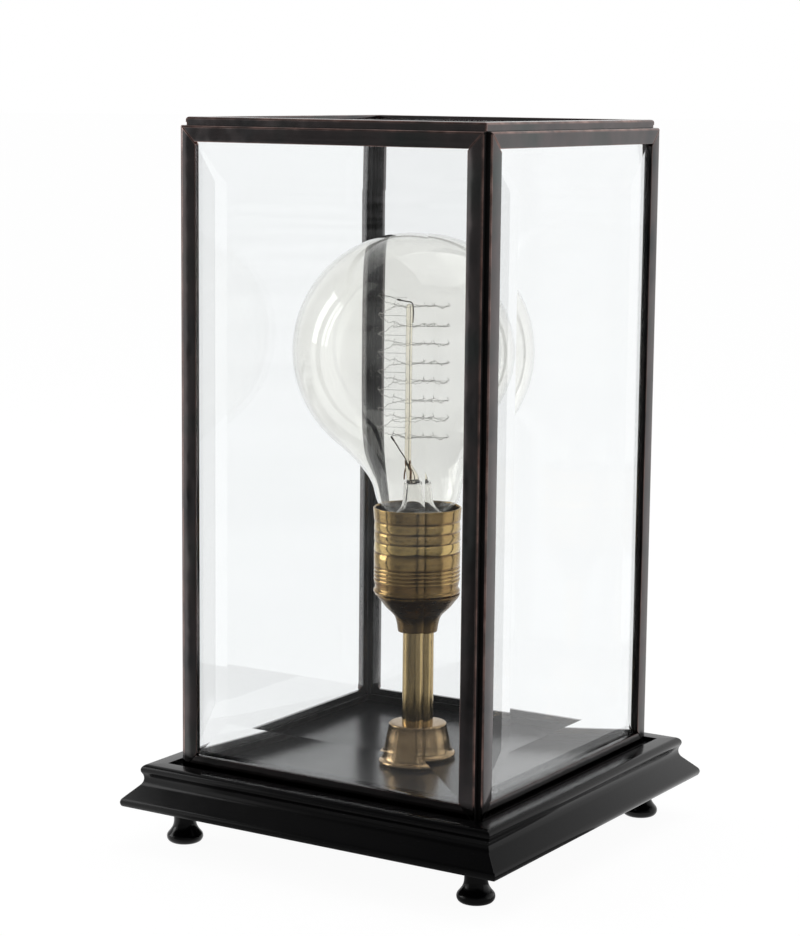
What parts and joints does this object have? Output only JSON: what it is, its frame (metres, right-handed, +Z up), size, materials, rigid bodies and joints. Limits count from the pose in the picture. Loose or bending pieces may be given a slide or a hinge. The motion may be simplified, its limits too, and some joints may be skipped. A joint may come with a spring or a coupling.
{
  "type": "table lamp",
  "caption": "Square lantern table lamp: a bevelled glass case in mitred metal frames lifts off a moulded, footed base over a brass lampholder and a clear globe bulb.",
  "frame": {"origin": "centre of the square of the feet, on the surface that they stand on", "axes": "+Z up; -Y is the front and +X the right side, the two sides that the picture shows; the cord inlet is at the back, +Y"},
  "size_m": [0.2284, 0.2284, 0.3816],
  "materials": {
    "black_moulding": "satin black paint",
    "black_plate": "satin black",
    "black_feet": "satin black",
    "black_board": "matt",
    "black_resin": "satin",
    "white_clay": "matt",
    "lead_cover": "matt",
    "old_brass": "antique, satin",
    "bright_brass": "bright",
    "steel": "satin",
    "filament": "dull",
    "bulb_clear": "clear",
    "pane_clear": "clear",
    "dark_bronze": "satin dark bronze with worn edges"
  },
  "bodies": {
    "base": {"base_front": "black_moulding", "base_right": "black_moulding", "base_back": "black_moulding", "base_left": "black_moulding", "floor_plate": "black_plate", "corner_blocks": "black_moulding", "bottom_cover": "black_board", "cover_screws": "steel", "foot_front_left": "black_feet", "foot_front_right": "black_feet", "foot_back_right": "black_feet", "foot_back_left": "black_feet", "cord_grommet": "black_resin", "terminal_block": "white_clay", "inner_leads": "lead_cover", "stem_flange": "old_brass", "stem_tube": "old_brass", "nipple": "steel", "lock_nut": "steel", "lock_washer": "steel", "holder_cap": "old_brass", "holder_shell": "old_brass", "holder_liner": "black_board", "holder_insert": "white_clay", "screw_shell": "bright_brass", "holder_contact": "bright_brass"},
    "bulb": {"bulb_glass": "bulb_clear", "bulb_cap": "bright_brass", "bulb_insulator": "black_resin", "bulb_contact": "steel", "bulb_mount": "bulb_clear", "bulb_filament": "filament", "bulb_supports": "steel", "bulb_leads": "steel"},
    "case": {"front_glass": "pane_clear", "front_top_bar": "dark_bronze", "front_bottom_bar": "dark_bronze", "front_left_bar": "dark_bronze", "front_right_bar": "dark_bronze", "right_glass": "pane_clear", "right_top_bar": "dark_bronze", "right_bottom_bar": "dark_bronze", "right_left_bar": "dark_bronze", "right_right_bar": "dark_bronze", "back_glass": "pane_clear", "back_top_bar": "dark_bronze", "back_bottom_bar": "dark_bronze", "back_left_bar": "dark_bronze", "back_right_bar": "dark_bronze", "left_glass": "pane_clear", "left_top_bar": "dark_bronze", "left_bottom_bar": "dark_bronze", "left_left_bar": "dark_bronze", "left_right_bar": "dark_bronze", "top_glass": "pane_clear", "top_front_bar": "dark_bronze", "top_right_bar": "dark_bronze", "top_back_bar": "dark_bronze", "top_left_bar": "dark_bronze"}
  },
  "joints": [
    {"name": "case_lift", "type": "slide", "parent": "base", "child": "case", "axis": [0, 0, 1], "range_m": [0, 0.33]},
    {"name": "bulb_lift", "type": "slide", "parent": "base", "child": "bulb", "axis": [0, 0, 1], "range_m": [0, 0.04]}
  ]
}
